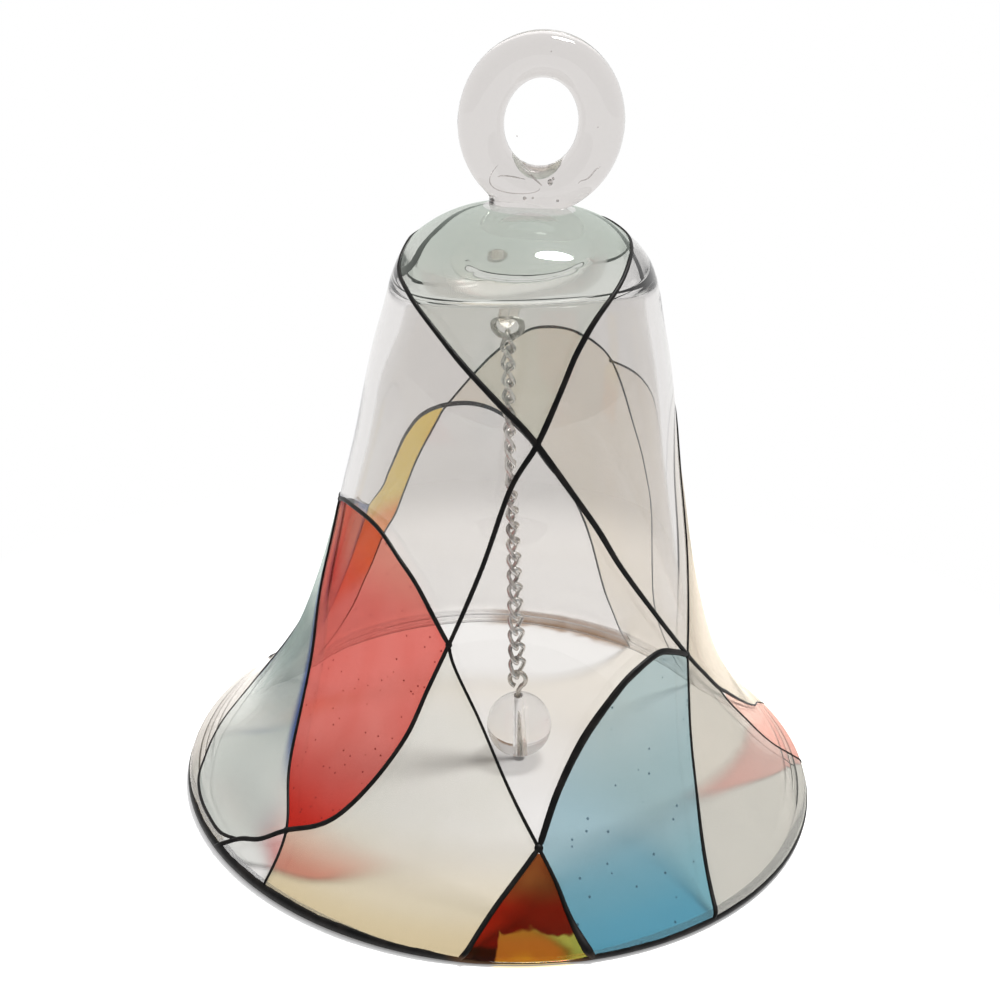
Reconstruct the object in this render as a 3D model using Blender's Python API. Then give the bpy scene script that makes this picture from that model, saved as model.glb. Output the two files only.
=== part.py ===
# Glass bell ornament: a blown bell with a solid crown, a glass hanging ring, a leaded
# outline drawn in raised black paste, and a curb chain that carries a loose glass bead.
# Run with: blender --background --python part.py
# Metres, +Z up, the rim rests on z = 0 and the front of the bell faces -Y.

import math

import bmesh
import bpy
from mathutils import Matrix, Vector
from mathutils.geometry import interpolate_bezier

# Bell glass
RIM_RADIUS = 0.0476
BODY_HEIGHT = 0.0881
WALL = 0.0022
CROWN_THICKNESS = 0.0099
LIP_RADIUS = 0.0011
LIP_SLOPE = math.radians(35)
REST_WIDTH = 0.0012
FLARE_RADIUS = 0.0359
FLARE_HEIGHT = 0.0140
SKIRT_RADIUS = 0.0300
SKIRT_HEIGHT = 0.0265
WAIST_RADIUS = 0.0244
WAIST_HEIGHT = 0.0500
SHOULDER_RADIUS = 0.0205
SHOULDER_HEIGHT = 0.0710
CROWN_EDGE_RADIUS = 0.0153
CROWN_EDGE_DROP = 0.0046
HOLLOW_CORNER = 0.0024
CEILING_RISE = 0.0003
BELL_SIDES = 40
BAND_SIDES = 60
PROFILE_STEPS = (5, 3, 3, 2, 3, 5)

# Hanging ring, a rod bent to an oval and fused to the crown
RING_ROD = 0.0066
RING_WIDTH = 0.0232
RING_HEIGHT = 0.0254
RING_SINK = 0.0012
RING_LEAN = math.radians(5)
FOOT_WIDTH = 0.0134
FOOT_DEPTH = 0.0086
FOOT_RISE = 0.0024
FUSE_GAP = 0.00015

# Raised black outline
LINE_HEIGHT = 0.00035
LINE_WIDTH = 0.0008
BOLD_WIDTH = 0.0011
FINE_WIDTH = 0.0006
RIM_BAND_WIDTH = 0.0004
RIM_BAND_NOSE = math.radians(30)
PASTE_GAP = 0.0002
LINE_STEP = 0.0031
STROKE_OVERRUN = 0.0004
HAND_SPREAD = 0.04

# Clapper: eye, jump ring, chain, eye pin and bead
EYE_ROD = 0.0015
EYE_HALF_WIDTH = 0.0020
EYE_OFFSET = -0.00244
EYE_DROP = 0.0074
JUMP_YAW = math.radians(-20)
JUMP_WIRE = 0.0009
JUMP_WIDTH = 0.0054
JUMP_HEIGHT = 0.0043
PENDULUM_LEAN = math.radians(4.6)
CHAIN_LINKS = 22
LINK_WIRE = 0.00068
LINK_WIDTH = 0.0030
LINK_TWIST = math.radians(-90)
CHAIN_YAW = math.radians(120)
CHAIN_YAW_END = math.radians(40)
METAL_GAP = 0.00008
PIN_WIRE = 0.00075
PIN_LOOP = 0.0032
PIN_NECK = 0.0012
LOOP_START = math.radians(-62)
LOOP_SWEEP = math.radians(310)
PIN_HEAD_RADIUS = 0.0009
PIN_HEAD_THICKNESS = 0.0004
PIN_HEAD_SINK = 0.0002
BEAD_DIAMETER = 0.0100
BEAD_BORE = 0.0013
BEAD_LIFT = 0.00105

TINY = 1e-6

# Places where the drawn lines meet: degrees round the bell from the front, positive to
# the viewer's right, and per cent of the body's height.
FAN_TIP = (8, 68.0)
LEFT_CROSSING = (-14, 37.0)
RIGHT_CROSSING = (64, 29.4)
LOW_CROSSING = (10, 11.2)
LOW_LEFT = (-40, 6.7)
LOW_RIGHT = (84, 16.5)
LEAF_TIP = (-74, 50.1)
BACK_CROSSING = (-150, 57.1)
BACK_LEFT = (-126, 37.0)
BACK_RIGHT = (135, 69.5)
RIM = 2.4

DRAWN_LINES = [
    # the two sweeps that cross at the fan's tip and meet behind the ring
    (LINE_WIDTH, [(-186, 94.2), (-130, 93.6), (-100, 93.1), (-85, 92.4), (-69, 89.3), (-55, 87.2),
                  (-37, 83.5), (-20, 78.7), (-5, 73.6), FAN_TIP, (27, 56.3), (37, 48.4), (49, 39.9),
                  RIGHT_CROSSING, (76, 21.8), LOW_RIGHT, (96, 8.8), (105, 4.6), (111, RIM)]),
    (LINE_WIDTH, [(184, 94.0), (139, 96.0), (112, 97.1), (90, 95.7), (70, 94.5), (53, 92.3), (34, 87.4),
                  (23, 82.0), (16, 76.1), FAN_TIP, (0, 61.1), (-7, 48.8), LEFT_CROSSING,
                  (-18, 30.0), (-22, 21.7), (-31, 10.8), LOW_LEFT, (-44, 4.5), (-48, 3.2), (-52, RIM)]),
    # left side
    (LINE_WIDTH, [LEAF_TIP, (-72, 47.2), (-69, 37.1), (-61, 28.2), (-55, 20.2), (-48, 12.7), LOW_LEFT,
                  (-37, RIM)]),
    (LINE_WIDTH, [LEAF_TIP, (-67, 51.2), (-54, 51.7), (-43, 50.7), (-33, 47.5), (-25, 44.1),
                  LEFT_CROSSING]),
    (FINE_WIDTH, [(-69, RIM), (-74, 3.8), (-79, 6.4), (-84, 9.6), (-99, 16.0), (-116, 25.6), BACK_LEFT]),
    (FINE_WIDTH, [LEAF_TIP, (-95, 52.5), (-113, 52.0), (-130, 49.4)]),
    # centre and front of the skirt
    (LINE_WIDTH, [LEFT_CROSSING, (-12, 34.2), (-4, 27.0), (4, 18.1), LOW_CROSSING, (14, 6.1), (17, RIM)]),
    (LINE_WIDTH, [LOW_CROSSING, (6, 8.4), (1, 4.7), (-2, RIM)]),
    (BOLD_WIDTH, [LOW_CROSSING, (15, 17.8), (23, 24.5), (33, 29.7), (41, 31.9), (50, 32.8), (58, 31.3),
                  RIGHT_CROSSING]),
    # right side
    (LINE_WIDTH, [RIGHT_CROSSING, (59, 23.5), (50, 13.7), (44, 6.5), (39, RIM)]),
    (LINE_WIDTH, [LOW_RIGHT, (88, 11.5), (91, 5.3), (92, RIM)]),
    (FINE_WIDTH, [RIGHT_CROSSING, (75, 43.0), (83, 57.2), (93, 65.9), (112, 68.8), BACK_RIGHT]),
    # the two arches at the back
    (LINE_WIDTH, [(-118, RIM), (-121, 10.0), (-124, 19.8), (-128, 29.7), (-135, 36.2), (-142, 42.4),
                  (-147, 50.2), BACK_CROSSING,
                  (-164, 65.9), (-180, 70.2), (-190, 71.6), (-206, 72.3), (-225, 69.5),
                  (-241, 58.3), (-246, 50.4), (-247, 41.6), (-238, 21.6), (-235, RIM)]),
    (LINE_WIDTH, [BACK_LEFT, (-128, 47.2), (-133, 53.0), (-141, 55.8), BACK_CROSSING, (-162, 57.5),
                  (-174, 55.1), (-186, 50.1), (-195, 44.7), (-204, 39.6), (-211, 29.4),
                  (-214, 13.4), (-213, RIM)]),
]


def remove_everything():
    for item in list(bpy.data.objects):
        bpy.data.objects.remove(item, do_unlink=True)


def make_material(name, colour, roughness, metallic, alpha=1.0):
    material = bpy.data.materials.new(name)
    material.use_nodes = True
    shader = material.node_tree.nodes["Principled BSDF"]
    shader.inputs["Base Color"].default_value = (*colour, 1.0)
    shader.inputs["Roughness"].default_value = roughness
    shader.inputs["Metallic"].default_value = metallic
    shader.inputs["Alpha"].default_value = alpha
    return material


def make_object(name, bm, material, origin=Vector()):
    bmesh.ops.translate(bm, verts=bm.verts, vec=-origin)
    bmesh.ops.recalc_face_normals(bm, faces=bm.faces)
    mesh = bpy.data.meshes.new(name)
    bm.to_mesh(mesh)
    bm.free()
    for face in mesh.polygons:
        face.use_smooth = True
    mesh.set_sharp_from_angle(angle=math.radians(35))
    mesh.materials.append(material)
    made = bpy.data.objects.new(name, mesh)
    made.location = origin
    bpy.context.scene.collection.objects.link(made)
    return made


def boolean(target, tool, operation):
    modifier = target.modifiers.new(operation.lower(), "BOOLEAN")
    modifier.operation = operation
    modifier.solver = "EXACT"
    modifier.object = tool
    bpy.context.view_layer.update()
    shaped = target.evaluated_get(bpy.context.evaluated_depsgraph_get())
    mesh = bpy.data.meshes.new_from_object(shaped)
    target.modifiers.clear()
    target.data = mesh
    bpy.data.objects.remove(tool, do_unlink=True)


def weld(made):
    # Merges the specks that two crossing strokes leave where their edges nearly meet.
    bm = bmesh.new()
    bm.from_mesh(made.data)
    bmesh.ops.remove_doubles(bm, verts=bm.verts, dist=TINY)
    bmesh.ops.dissolve_degenerate(bm, edges=bm.edges, dist=TINY)
    bm.to_mesh(made.data)
    bm.free()


def skin(rings, closed):
    # One solid through a row of like rings of points, capped where the row is open.
    bm = bmesh.new()
    loops = [[bm.verts.new(point) for point in ring] for ring in rings]
    sides = len(rings[0])
    spans = len(loops) if closed else len(loops) - 1
    for i in range(spans):
        here = loops[i]
        there = loops[(i + 1) % len(loops)]
        for j in range(sides):
            k = (j + 1) % sides
            bm.faces.new((here[j], here[k], there[k], there[j]))
    if not closed:
        bm.faces.new(list(reversed(loops[0])))
        bm.faces.new(loops[-1])
    return bm


def wire(path, diameter, sides, closed, reference):
    # Rings of a round wire along a path. The reference is a point that the path winds
    # round, so that the rings never twist.
    rings = []
    for i, point in enumerate(path):
        ahead = path[(i + 1) % len(path)] if closed or i + 1 < len(path) else point
        behind = path[i - 1] if closed or i > 0 else point
        along = (ahead - behind).normalized()
        outward = point - reference
        outward = (outward - along * outward.dot(along)).normalized()
        across = along.cross(outward)
        ring = []
        for j in range(sides):
            turn = 2 * math.pi * (j + 0.5) / sides
            ring.append(point + (outward * math.cos(turn) + across * math.sin(turn)) * diameter / 2)
        rings.append(ring)
    return rings


def revolve(profile, sides):
    # profile is a closed row of (radius, height); points on the axis are merged.
    bm = bmesh.new()
    verts = [bm.verts.new((radius, 0, height)) for radius, height in profile]
    edges = [bm.edges.new((verts[i - 1], verts[i])) for i in range(len(verts))
             if max(verts[i - 1].co.x, verts[i].co.x) > TINY]
    bmesh.ops.spin(bm, geom=verts + edges, cent=(0, 0, 0), axis=(0, 0, 1),
                   angle=2 * math.pi, steps=sides, use_merge=True)
    bmesh.ops.remove_doubles(bm, verts=bm.verts, dist=TINY)
    return bm


def lip_centre():
    return Vector((RIM_RADIUS - LIP_RADIUS, LIP_RADIUS))


def lip_arc(start, end, radius, steps):
    points = []
    for i in range(steps + 1):
        turn = start + (end - start) * i / steps
        points.append(lip_centre() + radius * Vector((math.cos(turn), math.sin(turn))))
    return points


def outer_profile(detail=1):
    # Smooth curve from the top of the lip over the flare, waist and shoulder to the apex.
    join = lip_arc(0, math.pi / 2 - LIP_SLOPE, LIP_RADIUS, 1)[-1]
    stations = [
        join,
        Vector((FLARE_RADIUS, FLARE_HEIGHT)),
        Vector((SKIRT_RADIUS, SKIRT_HEIGHT)),
        Vector((WAIST_RADIUS, WAIST_HEIGHT)),
        Vector((SHOULDER_RADIUS, SHOULDER_HEIGHT)),
        Vector((CROWN_EDGE_RADIUS, BODY_HEIGHT - CROWN_EDGE_DROP)),
        Vector((0, BODY_HEIGHT)),
    ]
    slopes = [Vector((-math.cos(LIP_SLOPE), math.sin(LIP_SLOPE)))]
    for i in range(1, len(stations) - 1):
        slopes.append((stations[i + 1] - stations[i - 1]).normalized())
    slopes.append(Vector((-1, 0)))
    points = []
    for i in range(len(stations) - 1):
        reach = (stations[i + 1] - stations[i]).length * 0.37
        first = (stations[i] + slopes[i] * reach).to_3d()
        last = (stations[i + 1] - slopes[i + 1] * reach).to_3d()
        curve = interpolate_bezier(stations[i].to_3d(), first, last, stations[i + 1].to_3d(),
                                   PROFILE_STEPS[i] * detail + 1)
        points += [point.to_2d() for point in curve[:-1]]
    return points + [stations[-1]]


def offset_profile(points, distance):
    # The same curve moved along its outward normal.
    moved = []
    for i, point in enumerate(points):
        along = points[min(i + 1, len(points) - 1)] - points[max(i - 1, 0)]
        if point.x < TINY:
            along = Vector((-1, 0))
        normal = Vector((along.y, -along.x)).normalized()
        moved.append(point + normal * distance)
    return moved


def ceiling_height():
    return BODY_HEIGHT - CROWN_THICKNESS


def inner_profile():
    # From the rest face up the inside of the wall, round a tight corner and over the almost
    # flat ceiling of the hollow.
    start = Vector((lip_centre().x - REST_WIDTH, 0))
    wall = offset_profile(outer_profile(4), -WALL)
    foot = ceiling_height() - HOLLOW_CORNER
    low, high = next(pair for pair in zip(wall, wall[1:]) if pair[1].y >= foot)
    top = low.lerp(high, (foot - low.y) / (high.y - low.y))
    along = (high - low).normalized()
    turn = Vector((top.x - HOLLOW_CORNER, ceiling_height() - CEILING_RISE))
    corner = interpolate_bezier(top.to_3d(), (top + along * HOLLOW_CORNER * 0.6).to_3d(),
                                (turn + Vector((HOLLOW_CORNER * 0.6, 0))).to_3d(), turn.to_3d(), 5)
    inside = [point for point in offset_profile(outer_profile(), -WALL)
              if start.y + WALL < point.y < foot - HOLLOW_CORNER / 2]
    middle = Vector((turn.x / 2, ceiling_height() - CEILING_RISE / 4))
    return [start] + inside + [point.to_2d() for point in corner] + [middle, Vector((0, ceiling_height()))]


def radius_at(height):
    points = outer_profile()
    for low, high in zip(points, points[1:]):
        if low.y <= height <= high.y:
            return low.x + (high.x - low.x) * (height - low.y) / max(high.y - low.y, TINY)
    return points[0].x


def ceiling_at(radius):
    points = inner_profile()
    for outside, inside in zip(points, points[1:]):
        if inside.x <= radius <= outside.x and outside.y > ceiling_height() / 2:
            share = (radius - inside.x) / max(outside.x - inside.x, TINY)
            return inside.y + (outside.y - inside.y) * share
    return ceiling_height()


def build_bell(material):
    lip = lip_arc(-math.pi / 2, math.pi / 2 - LIP_SLOPE, LIP_RADIUS, 5)[:-1]
    profile = lip + outer_profile() + list(reversed(inner_profile()))
    make_object("bell_body", revolve(profile, BELL_SIDES), material)


def ring_frame():
    # The ring stands on the crown and leans about its foot.
    rise = RING_HEIGHT / 2 - RING_SINK
    lean = Matrix.Rotation(RING_LEAN, 4, "Y")
    return Matrix.Translation((0, 0, BODY_HEIGHT)) @ lean @ Matrix.Translation((0, 0, rise))


def build_hanging_ring(material):
    across = (RING_WIDTH - RING_ROD) / 2
    upright = (RING_HEIGHT - RING_ROD) / 2
    steps = 28
    path = [Vector((across * math.sin(turn), 0, upright * math.cos(turn)))
            for turn in (2 * math.pi * (i + 0.5) / steps for i in range(steps))]
    bm = skin(wire(path, RING_ROD, 12, True, Vector()), True)
    bmesh.ops.transform(bm, matrix=ring_frame(), verts=bm.verts)
    ring = make_object("hanging_ring", bm, material)
    boolean(ring, build_foot(material), "UNION")
    boolean(ring, build_crown_cutter(material), "DIFFERENCE")


def build_foot(material):
    # The gather that was drawn out over the crown when the ring was fused on.
    rings = []
    for share, spread in ((-0.6, 1.0), (0.0, 1.0), (0.35, 0.86), (0.7, 0.78), (1.0, 0.74)):
        ring = []
        for j in range(20):
            turn = 2 * math.pi * j / 20
            ring.append(Vector((FOOT_WIDTH / 2 * spread * math.cos(turn),
                                FOOT_DEPTH / 2 * spread * math.sin(turn),
                                BODY_HEIGHT + FOOT_RISE * share)))
        rings.append(ring)
    return make_object("foot", skin(rings, False), material)


def build_crown_cutter(material):
    crown = [point for point in offset_profile(outer_profile(2), FUSE_GAP) if point.y > SHOULDER_HEIGHT]
    profile = crown + [Vector((0, SHOULDER_HEIGHT)), Vector((crown[0].x, SHOULDER_HEIGHT))]
    return make_object("crown_cutter", revolve(profile, BELL_SIDES), material)


def smooth_row(points, steps):
    # Catmull-Rom through the chosen points, in degrees and per cent.
    row = []
    padded = [points[0]] + points + [points[-1]]
    for i in range(1, len(padded) - 2):
        before, start, end, after = (Vector(padded[i + k]) for k in (-1, 0, 1, 2))
        for j in range(steps):
            t = j / steps
            row.append(0.5 * (2 * start + (end - before) * t
                              + (2 * before - 5 * start + 4 * end - after) * t * t
                              + (3 * start - before - 3 * end + after) * t * t * t))
    return row + [Vector(points[-1])]


def even_row(points, step):
    # The same path with points a step apart.
    kept = [points[0]]
    for point in points[1:-1]:
        if (point - kept[-1]).length >= step and (point - points[-1]).length > step / 2:
            kept.append(point)
    return kept + [points[-1]]


def on_bell(turn, share):
    height = BODY_HEIGHT * share / 100
    angle = math.radians(turn)
    radius = radius_at(height)
    slope = (radius_at(height + 0.0004) - radius_at(height - 0.0004)) / 0.0008
    around = Vector((math.sin(angle), -math.cos(angle), 0))
    normal = (around - Vector((0, 0, slope))).normalized()
    return around * radius + Vector((0, 0, height)), normal


def build_line(width, points, load, material):
    # One stroke of paste: a low ridge with a flat base and a narrower top. Its load is
    # how much paste the hand laid down, so that no two crossing strokes are level.
    feet = [on_bell(*place) for place in smooth_row(points, 10)]
    path = even_row([foot for foot, _ in feet], LINE_STEP)
    normals = [next(normal for foot, normal in feet if foot == point) for point in path]
    path[0] = path[0] + (path[0] - path[1]).normalized() * STROKE_OVERRUN
    path[-1] = path[-1] + (path[-1] - path[-2]).normalized() * STROKE_OVERRUN
    rings = []
    for i, point in enumerate(path):
        along = (path[min(i + 1, len(path) - 1)] - path[max(i - 1, 0)]).normalized()
        across = along.cross(normals[i]).normalized()
        base = point + normals[i] * PASTE_GAP * load
        crest = base + normals[i] * LINE_HEIGHT * load
        rings.append([base - across * width / 2, base + across * width / 2,
                      crest + across * width * 0.28, crest - across * width * 0.28])
    return make_object("line", skin(rings, False), material)


def build_leading(material):
    # The band round the lip, with every drawn line joined to it.
    nose = lip_arc(-RIM_BAND_NOSE, math.pi / 2 - LIP_SLOPE, LIP_RADIUS, 2)
    join, above = outer_profile()[:2]
    edge = nose + [join + (above - join).normalized() * RIM_BAND_WIDTH]
    band = offset_profile(edge, PASTE_GAP + LINE_HEIGHT) + list(reversed(offset_profile(edge, PASTE_GAP)))
    band = make_object("leading_lines", revolve(band, BAND_SIDES), material)
    for i, (width, points) in enumerate(DRAWN_LINES):
        load = 1 + HAND_SPREAD * ((i * 3) % 7)
        boolean(band, build_line(width, points, load, material), "UNION")
        weld(band)


def eye_centre():
    # The middle of the eye's lowest bend, on the pendulum's line.
    return Vector((EYE_OFFSET, 0, ceiling_height() - EYE_DROP))


def build_eye(material):
    bend_height = eye_centre().z + EYE_HALF_WIDTH
    top = ceiling_at(abs(EYE_OFFSET) + EYE_HALF_WIDTH + EYE_ROD) - FUSE_GAP
    path = [Vector((0, EYE_HALF_WIDTH, top)), Vector((0, EYE_HALF_WIDTH, (top + bend_height) / 2))]
    steps = 12
    for i in range(steps + 1):
        turn = math.pi * i / steps
        path.append(Vector((0, math.cos(turn), -math.sin(turn))) * EYE_HALF_WIDTH
                    + Vector((0, 0, bend_height)))
    path += [Vector((0, -EYE_HALF_WIDTH, (top + bend_height) / 2)), Vector((0, -EYE_HALF_WIDTH, top))]
    bm = skin(wire(path, EYE_ROD, 8, False, Vector((0, 0, bend_height))), False)
    place = Matrix.Translation((EYE_OFFSET, 0, 0)) @ Matrix.Rotation(JUMP_YAW, 4, "Z")
    bmesh.ops.transform(bm, matrix=place, verts=bm.verts)
    make_object("inner_eye", bm, material)


def pendulum(drop, yaw):
    # A frame on the pendulum's line, its Z along the line and its drop measured down it.
    lean = Matrix.Rotation(-PENDULUM_LEAN, 4, "Y")
    return (Matrix.Translation(eye_centre()) @ lean
            @ Matrix.Translation((0, 0, -drop)) @ Matrix.Rotation(yaw, 4, "Z"))


def hang(name, bm, frame, pivot_drop, material):
    # Puts a piece in its frame, with its origin on the joint that carries it.
    bmesh.ops.transform(bm, matrix=frame, verts=bm.verts)
    pivot = pendulum(pivot_drop, 0).translation
    return make_object(name, bm, material, pivot)


def jump_half():
    return (JUMP_HEIGHT - JUMP_WIRE) / 2


def jump_top_drop():
    return -(EYE_ROD + JUMP_WIRE) / 2 - METAL_GAP


def jump_bottom_drop():
    return jump_top_drop() + 2 * jump_half()


def link_pitch():
    # What the jump ring, the pin and the bead leave of the drop, shared by the links.
    reach = (eye_centre().z - BEAD_LIFT) / math.cos(PENDULUM_LEAN)
    ring_part = jump_bottom_drop() - JUMP_WIRE / 2 - METAL_GAP
    pin_part = PIN_LOOP - PIN_WIRE + PIN_NECK + BEAD_DIAMETER
    return (reach - ring_part - pin_part) / CHAIN_LINKS


def link_half():
    # Half the length of a link's centre line, so that neighbours clear by the gap.
    return (link_pitch() + LINK_WIRE + METAL_GAP) / 2


def first_link_drop():
    return jump_bottom_drop() - (JUMP_WIRE + LINK_WIRE) / 2 - METAL_GAP + link_half()


def link_drop(number):
    return first_link_drop() + (number - 1) * link_pitch()


def last_link_drop():
    return link_drop(CHAIN_LINKS)


def loop_centre_drop():
    return last_link_drop() + link_half() - (LINK_WIRE + PIN_WIRE) / 2 - METAL_GAP + (PIN_LOOP - PIN_WIRE) / 2


def bead_centre_drop():
    return loop_centre_drop() + PIN_LOOP / 2 + PIN_NECK + BEAD_DIAMETER / 2


def build_jump_ring(material):
    steps = 24
    across = (JUMP_WIDTH - JUMP_WIRE) / 2
    path = [Vector((across * math.sin(turn), 0, jump_half() * math.cos(turn)))
            for turn in (2 * math.pi * i / steps for i in range(steps))]
    bm = skin(wire(path, JUMP_WIRE, 8, True, Vector()), True)
    hang("jump_ring", bm, pendulum(jump_top_drop() + jump_half(), JUMP_YAW), 0, material)


def link_path():
    # An oval of wire, its two ends turned a quarter turn apart.
    half_width = (LINK_WIDTH - LINK_WIRE) / 2
    straight = link_half() - half_width
    path = []
    steps = 18
    for i in range(steps):
        turn = 2 * math.pi * (i + 0.5) / steps
        across = half_width * math.sin(turn)
        along = half_width * math.cos(turn) + math.copysign(straight, math.cos(turn))
        twist = LINK_TWIST / 2 * along / link_half()
        path.append(Matrix.Rotation(twist, 3, "Z") @ Vector((across, 0, along)))
    return path


def link_pivot_drop(number):
    # Odd links swing about the wire above them, even ones about their own upper bend.
    if number == 1:
        return jump_bottom_drop()
    if number % 2 == 0:
        return link_drop(number) - link_half()
    return link_drop(number - 1) + link_half()


def build_chain(material):
    for number in range(1, CHAIN_LINKS + 1):
        share = (number - 1) / (CHAIN_LINKS - 1)
        yaw = CHAIN_YAW + (CHAIN_YAW_END - CHAIN_YAW) * share
        bm = skin(wire(link_path(), LINK_WIRE, 6, True, Vector()), True)
        frame = pendulum(link_drop(number), yaw)
        hang(f"chain_link_{number:02d}", bm, frame, link_pivot_drop(number), material)


def build_eye_pin(material):
    # A straight wire with a loop turned at its top and a flattened head below the bead.
    radius = (PIN_LOOP - PIN_WIRE) / 2
    tail = PIN_LOOP / 2 + PIN_NECK + BEAD_DIAMETER + METAL_GAP
    path = [Vector((0, 0, -tail - PIN_HEAD_SINK)), Vector((0, 0, -tail + BEAD_DIAMETER)),
            Vector((0, 0, -radius - PIN_WIRE))]
    steps = 18
    for i in range(steps + 1):
        turn = LOOP_START + LOOP_SWEEP * i / steps
        path.append(Vector((radius * math.cos(turn), 0, radius * math.sin(turn))))
    bm = skin(flat_wire(path, PIN_WIRE, 8), False)
    pin_yaw = CHAIN_YAW_END + LINK_TWIST / 2
    frame = pendulum(loop_centre_drop(), pin_yaw)
    pin = hang("eye_pin", bm, frame, last_link_drop() + link_half(), material)
    head_frame = pendulum(loop_centre_drop() + tail, pin_yaw)
    head_profile = [(0, -PIN_HEAD_THICKNESS), (PIN_HEAD_RADIUS * 0.8, -PIN_HEAD_THICKNESS),
                    (PIN_HEAD_RADIUS, -PIN_HEAD_THICKNESS / 2), (PIN_HEAD_RADIUS, 0), (0, 0)]
    head = revolve([Vector(point) for point in head_profile], 12)
    bmesh.ops.transform(head, matrix=head_frame, verts=head.verts)
    boolean(pin, make_object("pin_head", head, material), "UNION")


def flat_wire(path, diameter, sides):
    # Rings of a wire that lies in its own XZ plane.
    rings = []
    for i, point in enumerate(path):
        along = (path[min(i + 1, len(path) - 1)] - path[max(i - 1, 0)]).normalized()
        outward = Vector((0, 1, 0))
        across = along.cross(outward)
        rings.append([point + (outward * math.cos(turn) + across * math.sin(turn)) * diameter / 2
                      for turn in (2 * math.pi * (j + 0.5) / sides for j in range(sides))])
    return rings


def build_bead(material):
    radius = BEAD_DIAMETER / 2
    bore = BEAD_BORE / 2
    mouth = math.acos(bore / radius)
    steps = 12
    profile = []
    for i in range(steps + 1):
        turn = -mouth + 2 * mouth * i / steps
        profile.append((radius * math.cos(turn), radius * math.sin(turn)))
    bm = revolve([Vector(point) for point in profile], 20)
    hang("glass_bead", bm, pendulum(bead_centre_drop(), 0), bead_centre_drop(), material)


def main():
    remove_everything()
    clear_glass = make_material("clear_glass", (0.86, 0.88, 0.86), 0.03, 0.0, 0.35)
    ring_glass = make_material("ring_glass", (0.87, 0.85, 0.82), 0.03, 0.0, 0.35)
    eye_glass = make_material("eye_glass", (0.84, 0.80, 0.76), 0.15, 0.0, 0.6)
    bead_glass = make_material("bead_glass", (0.88, 0.87, 0.85), 0.03, 0.0, 0.35)
    paste = make_material("black_paste", (0.02, 0.018, 0.017), 0.35, 0.0)
    steel = make_material("steel", (0.55, 0.54, 0.52), 0.22, 1.0)
    build_bell(clear_glass)
    build_hanging_ring(ring_glass)
    build_leading(paste)
    build_eye(eye_glass)
    build_jump_ring(steel)
    build_chain(steel)
    build_eye_pin(steel)
    build_bead(bead_glass)
    print("link pitch mm", round(link_pitch() * 1000, 4))
    print("bead centre drop mm", round(bead_centre_drop() * 1000, 3))


main()
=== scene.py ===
import math

import bmesh
import bpy
from mathutils import Matrix, Vector, noise
from mathutils.geometry import interpolate_bezier
from mathutils.kdtree import KDTree


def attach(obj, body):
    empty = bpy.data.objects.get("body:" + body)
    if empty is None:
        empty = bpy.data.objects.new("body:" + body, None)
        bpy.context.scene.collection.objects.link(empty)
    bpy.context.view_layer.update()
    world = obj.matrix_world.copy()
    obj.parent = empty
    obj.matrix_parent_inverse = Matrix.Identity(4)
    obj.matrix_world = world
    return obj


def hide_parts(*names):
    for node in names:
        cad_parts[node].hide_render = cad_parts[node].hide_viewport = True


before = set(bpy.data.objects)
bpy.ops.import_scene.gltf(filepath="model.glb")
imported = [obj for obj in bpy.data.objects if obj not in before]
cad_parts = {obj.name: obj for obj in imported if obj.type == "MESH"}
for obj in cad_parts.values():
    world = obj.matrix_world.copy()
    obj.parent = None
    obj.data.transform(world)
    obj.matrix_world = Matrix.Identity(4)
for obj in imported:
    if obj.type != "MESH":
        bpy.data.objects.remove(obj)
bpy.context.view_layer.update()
scene = bpy.context.scene
mm = 0.001


# shader sums

class Link:
    # a node's output that takes part in sums

    def __init__(self, finish, socket):
        self.finish = finish
        self.socket = socket

    def sum(self, operation, first, second):
        return self.finish.node("ShaderNodeMath", {"operation": operation}, {0: first, 1: second})

    def __add__(self, other):
        return self.sum("ADD", self, other)

    def __radd__(self, other):
        return self.sum("ADD", other, self)

    def __sub__(self, other):
        return self.sum("SUBTRACT", self, other)

    def __rsub__(self, other):
        return self.sum("SUBTRACT", other, self)

    def __mul__(self, other):
        return self.sum("MULTIPLY", self, other)

    def __rmul__(self, other):
        return self.sum("MULTIPLY", other, self)

    def most(self, other):
        return self.sum("MAXIMUM", self, other)

    def least(self, other):
        return self.sum("MINIMUM", self, other)

    def ramp(self, start, end):
        # 0 at start, 1 at end, eased
        values = {"Value": self, "From Min": start, "From Max": end}
        return self.finish.node("ShaderNodeMapRange", {"interpolation_type": "SMOOTHSTEP"}, values)


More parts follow.
